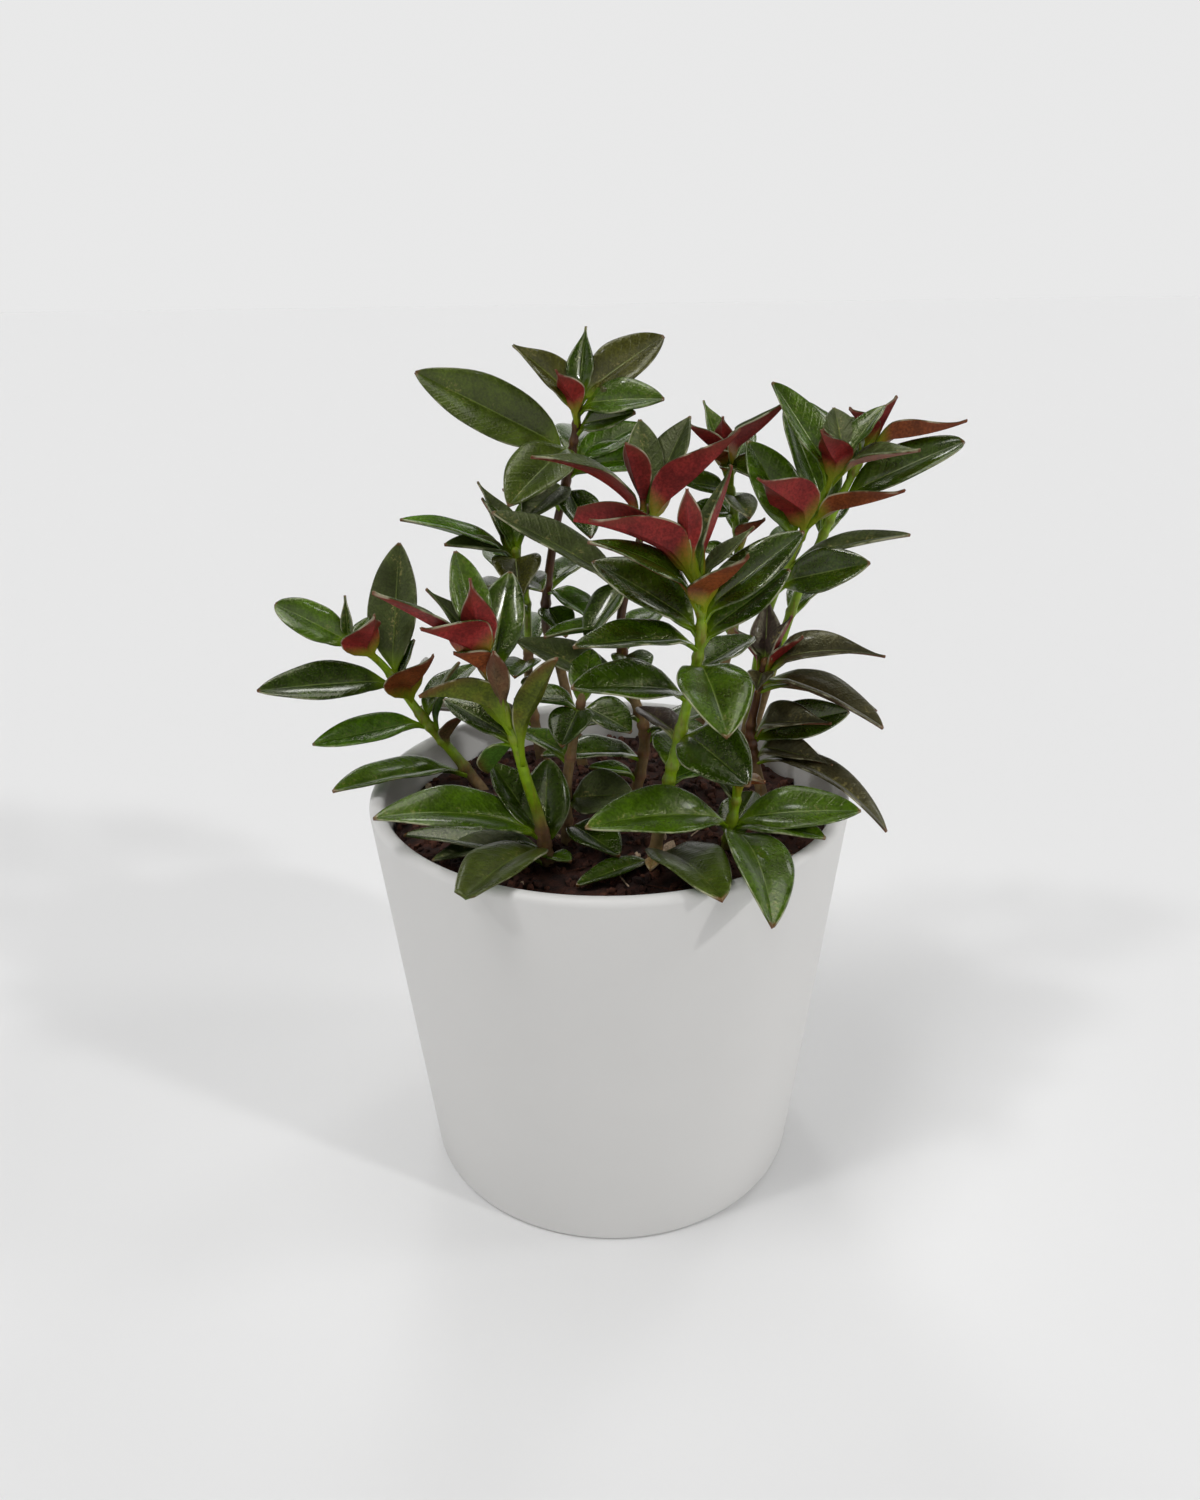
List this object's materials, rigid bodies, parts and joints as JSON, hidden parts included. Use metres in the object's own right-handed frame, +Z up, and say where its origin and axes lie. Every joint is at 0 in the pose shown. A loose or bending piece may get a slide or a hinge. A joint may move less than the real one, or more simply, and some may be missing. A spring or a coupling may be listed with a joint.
{
  "type": "potted goldfish plant",
  "caption": "Bushy goldfish plant with glossy pointed leaves on upright stems, standing in soil in a plain tapered white pot.",
  "frame": {"origin": "the middle of the pot's flat underside", "axes": "+Z up along the pot's axis, -Y towards the side that the picture shows, +X to its right"},
  "size_m": [0.206, 0.148, 0.2444],
  "materials": {
    "leaf": "satin",
    "pot": "matte",
    "soil": "matte"
  },
  "bodies": {
    "root": {"pot": "pot", "soil": "soil", "sprig_far_left": "leaf", "sprig_front_left": "leaf", "sprig_back_left": "leaf", "sprig_tallest": "leaf", "sprig_centre": "leaf", "sprig_front": "leaf", "sprig_far_back": "leaf", "sprig_right": "leaf", "sprig_back_right": "leaf", "sprig_mid_right": "leaf", "sprig_front_right": "leaf", "sprig_inner_left": "leaf"}
  },
  "joints": []
}
